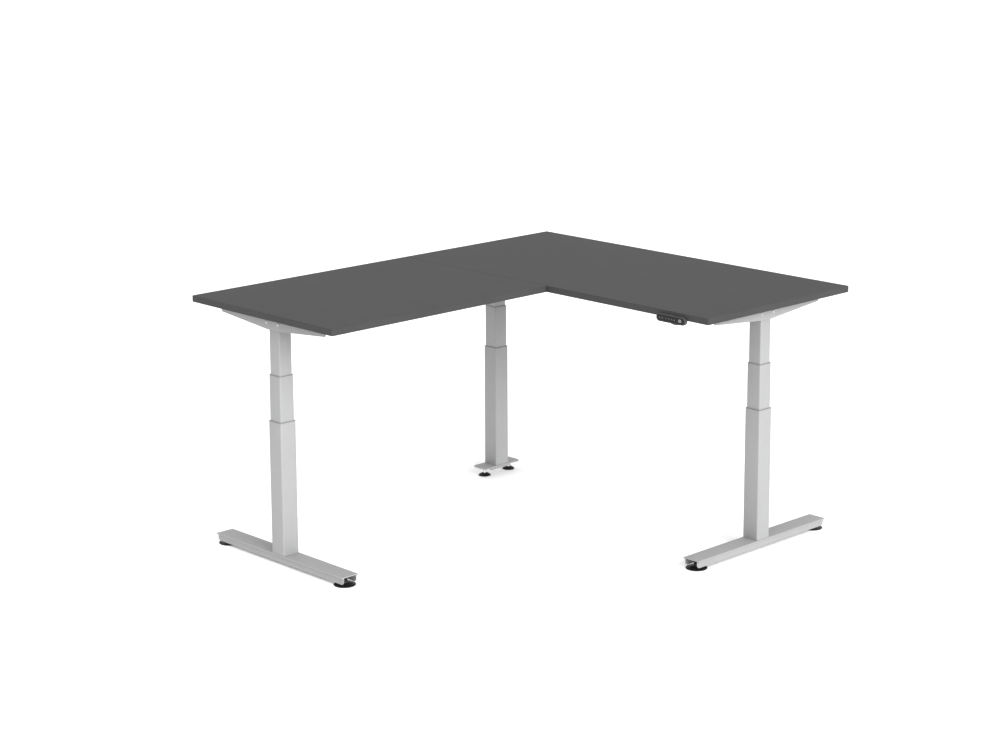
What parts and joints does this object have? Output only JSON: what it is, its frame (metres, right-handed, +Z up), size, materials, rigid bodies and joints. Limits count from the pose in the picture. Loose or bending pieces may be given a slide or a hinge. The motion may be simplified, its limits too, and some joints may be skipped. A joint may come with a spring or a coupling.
{
  "type": "height adjustable standing desk",
  "caption": "L-shaped standing desk: two dark boards on silver telescopic lifting columns with T-shaped feet, levelling glides and a handset under the front edge.",
  "frame": {"origin": "on the floor, under the middle of the desk's outer rectangle", "axes": "+X along the main board to its free end, +Y to the back edge, +Z up"},
  "size_m": [1.6, 1.84, 0.955],
  "materials": {
    "desktop_laminate": "dark grey melamine laminate, fine satin texture",
    "silver_paint": "silver grey powder coat, satin with a fine grain",
    "zinc_steel": "bright zinc plating",
    "guide_plastic": "moulded plastic guide, matt",
    "glide_plastic": "black moulded plastic, matt",
    "motor_casting": "cast housing, dull",
    "screw_steel": "turned and greased steel",
    "handset_plastic": "fine textured dark plastic",
    "handset_film": "smooth dark front film",
    "display_window": "pale lit display window",
    "key_plastic": "soft touch keys",
    "control_box_plastic": "fine textured black plastic",
    "circuit_board": "green circuit board"
  },
  "bodies": {
    "base": {"left_foot": "silver_paint", "left_outer_tube": "silver_paint", "left_outer_collar": "guide_plastic", "left_base_screw": "screw_steel", "right_foot": "silver_paint", "right_outer_tube": "silver_paint", "right_outer_collar": "guide_plastic", "right_base_screw": "screw_steel", "corner_foot": "silver_paint", "corner_outer_tube": "silver_paint", "corner_outer_collar": "guide_plastic", "corner_base_screw": "screw_steel"},
    "desk_top": {"main_desktop": "desktop_laminate", "return_desktop": "desktop_laminate", "outer_joining_plate": "zinc_steel", "middle_joining_plate": "zinc_steel", "inner_joining_plate": "zinc_steel", "main_front_rail": "silver_paint", "main_rear_rail": "silver_paint", "return_outer_rail": "silver_paint", "return_inner_rail": "silver_paint", "handset_case": "handset_plastic", "handset_panel": "handset_film", "handset_display": "display_window", "control_box_case": "control_box_plastic", "control_circuit_board": "circuit_board", "left_bracket": "silver_paint", "left_inner_tube": "silver_paint", "left_motor": "motor_casting", "right_bracket": "silver_paint", "right_inner_tube": "silver_paint", "right_motor": "motor_casting", "corner_bracket": "silver_paint", "corner_inner_tube": "silver_paint", "corner_motor": "motor_casting"},
    "left_middle": {"left_middle_tube": "silver_paint", "left_middle_collar": "guide_plastic"},
    "left_lift_screw": {"left_lift_screw": "screw_steel"},
    "left_drive_shaft": {"left_drive_shaft": "screw_steel"},
    "right_middle": {"right_middle_tube": "silver_paint", "right_middle_collar": "guide_plastic"},
    "right_lift_screw": {"right_lift_screw": "screw_steel"},
    "right_drive_shaft": {"right_drive_shaft": "screw_steel"},
    "corner_middle": {"corner_middle_tube": "silver_paint", "corner_middle_collar": "guide_plastic"},
    "corner_lift_screw": {"corner_lift_screw": "screw_steel"},
    "corner_drive_shaft": {"corner_drive_shaft": "screw_steel"},
    "left_outer_glide": {"left_outer_glide": "glide_plastic"},
    "left_inner_glide": {"left_inner_glide": "glide_plastic"},
    "right_front_glide": {"right_front_glide": "glide_plastic"},
    "right_rear_glide": {"right_rear_glide": "glide_plastic"},
    "corner_front_glide": {"corner_front_glide": "glide_plastic"},
    "corner_rear_glide": {"corner_rear_glide": "glide_plastic"},
    "up_key": {"up_key": "key_plastic"},
    "down_key": {"down_key": "key_plastic"},
    "memory_key_1": {"memory_key_1": "key_plastic"},
    "memory_key_2": {"memory_key_2": "key_plastic"},
    "memory_key_3": {"memory_key_3": "key_plastic"},
    "set_key": {"set_key": "key_plastic"}
  },
  "joints": [
    {"name": "desk_lift", "type": "slide", "parent": "base", "child": "desk_top", "axis": [0, 0, 1], "range_m": [-0.325, 0.325]},
    {"name": "left_middle_slide", "type": "slide", "parent": "base", "child": "left_middle", "axis": [0, 0, 1], "range_m": [-0.1625, 0.1625]},
    {"name": "right_middle_slide", "type": "slide", "parent": "base", "child": "right_middle", "axis": [0, 0, 1], "range_m": [-0.1625, 0.1625]},
    {"name": "corner_middle_slide", "type": "slide", "parent": "base", "child": "corner_middle", "axis": [0, 0, 1], "range_m": [-0.1625, 0.1625]},
    {"name": "left_lift_screw_turn", "type": "hinge", "parent": "left_middle", "child": "left_lift_screw", "pos_m": [-0.4, -0.83, 0.45], "axis": [0, 0, 1], "range_deg": [-5850, 5850]},
    {"name": "left_drive_shaft_turn", "type": "hinge", "parent": "desk_top", "child": "left_drive_shaft", "pos_m": [-0.4, -0.83, 0.65], "axis": [0, 0, 1], "range_deg": [-5850, 5850]},
    {"name": "right_lift_screw_turn", "type": "hinge", "parent": "right_middle", "child": "right_lift_screw", "pos_m": [0.7, 0.525, 0.45], "axis": [0, 0, 1], "range_deg": [-5850, 5850]},
    {"name": "right_drive_shaft_turn", "type": "hinge", "parent": "desk_top", "child": "right_drive_shaft", "pos_m": [0.7, 0.525, 0.65], "axis": [0, 0, 1], "range_deg": [-5850, 5850]},
    {"name": "corner_lift_screw_turn", "type": "hinge", "parent": "corner_middle", "child": "corner_lift_screw", "pos_m": [-0.7, 0.525, 0.45], "axis": [0, 0, 1], "range_deg": [-5850, 5850]},
    {"name": "corner_drive_shaft_turn", "type": "hinge", "parent": "desk_top", "child": "corner_drive_shaft", "pos_m": [-0.7, 0.525, 0.65], "axis": [0, 0, 1], "range_deg": [-5850, 5850]},
    {"name": "left_outer_glide_height", "type": "slide", "parent": "base", "child": "left_outer_glide", "axis": [0, 0, -1], "range_m": [0, 0.008]},
    {"name": "left_inner_glide_height", "type": "slide", "parent": "base", "child": "left_inner_glide", "axis": [0, 0, -1], "range_m": [0, 0.008]},
    {"name": "right_front_glide_height", "type": "slide", "parent": "base", "child": "right_front_glide", "axis": [0, 0, -1], "range_m": [0, 0.008]},
    {"name": "right_rear_glide_height", "type": "slide", "parent": "base", "child": "right_rear_glide", "axis": [0, 0, -1], "range_m": [0, 0.008]},
    {"name": "corner_front_glide_height", "type": "slide", "parent": "base", "child": "corner_front_glide", "axis": [0, 0, -1], "range_m": [0, 0.008]},
    {"name": "corner_rear_glide_height", "type": "slide", "parent": "base", "child": "corner_rear_glide", "axis": [0, 0, -1], "range_m": [0, 0.008]},
    {"name": "up_key_press", "type": "slide", "parent": "desk_top", "child": "up_key", "axis": [0, 1, 0], "range_m": [0, 0.001], "stiffness_N_per_m": 1200},
    {"name": "down_key_press", "type": "slide", "parent": "desk_top", "child": "down_key", "axis": [0, 1, 0], "range_m": [0, 0.001], "stiffness_N_per_m": 1200},
    {"name": "memory_key_1_press", "type": "slide", "parent": "desk_top", "child": "memory_key_1", "axis": [0, 1, 0], "range_m": [0, 0.001], "stiffness_N_per_m": 1200},
    {"name": "memory_key_2_press", "type": "slide", "parent": "desk_top", "child": "memory_key_2", "axis": [0, 1, 0], "range_m": [0, 0.001], "stiffness_N_per_m": 1200},
    {"name": "memory_key_3_press", "type": "slide", "parent": "desk_top", "child": "memory_key_3", "axis": [0, 1, 0], "range_m": [0, 0.001], "stiffness_N_per_m": 1200},
    {"name": "set_key_press", "type": "slide", "parent": "desk_top", "child": "set_key", "axis": [0, 1, 0], "range_m": [0, 0.001], "stiffness_N_per_m": 1200}
  ],
  "couplings": [
    {"joint": "left_middle_slide", "follows": "desk_lift", "ratio": 0.5},
    {"joint": "right_middle_slide", "follows": "desk_lift", "ratio": 0.5},
    {"joint": "corner_middle_slide", "follows": "desk_lift", "ratio": 0.5},
    {"joint": "left_lift_screw_turn", "follows": "desk_lift", "rad_per_m": 314.16},
    {"joint": "left_drive_shaft_turn", "follows": "desk_lift", "rad_per_m": 314.16},
    {"joint": "right_lift_screw_turn", "follows": "desk_lift", "rad_per_m": 314.16},
    {"joint": "right_drive_shaft_turn", "follows": "desk_lift", "rad_per_m": 314.16},
    {"joint": "corner_lift_screw_turn", "follows": "desk_lift", "rad_per_m": 314.16},
    {"joint": "corner_drive_shaft_turn", "follows": "desk_lift", "rad_per_m": 314.16}
  ]
}
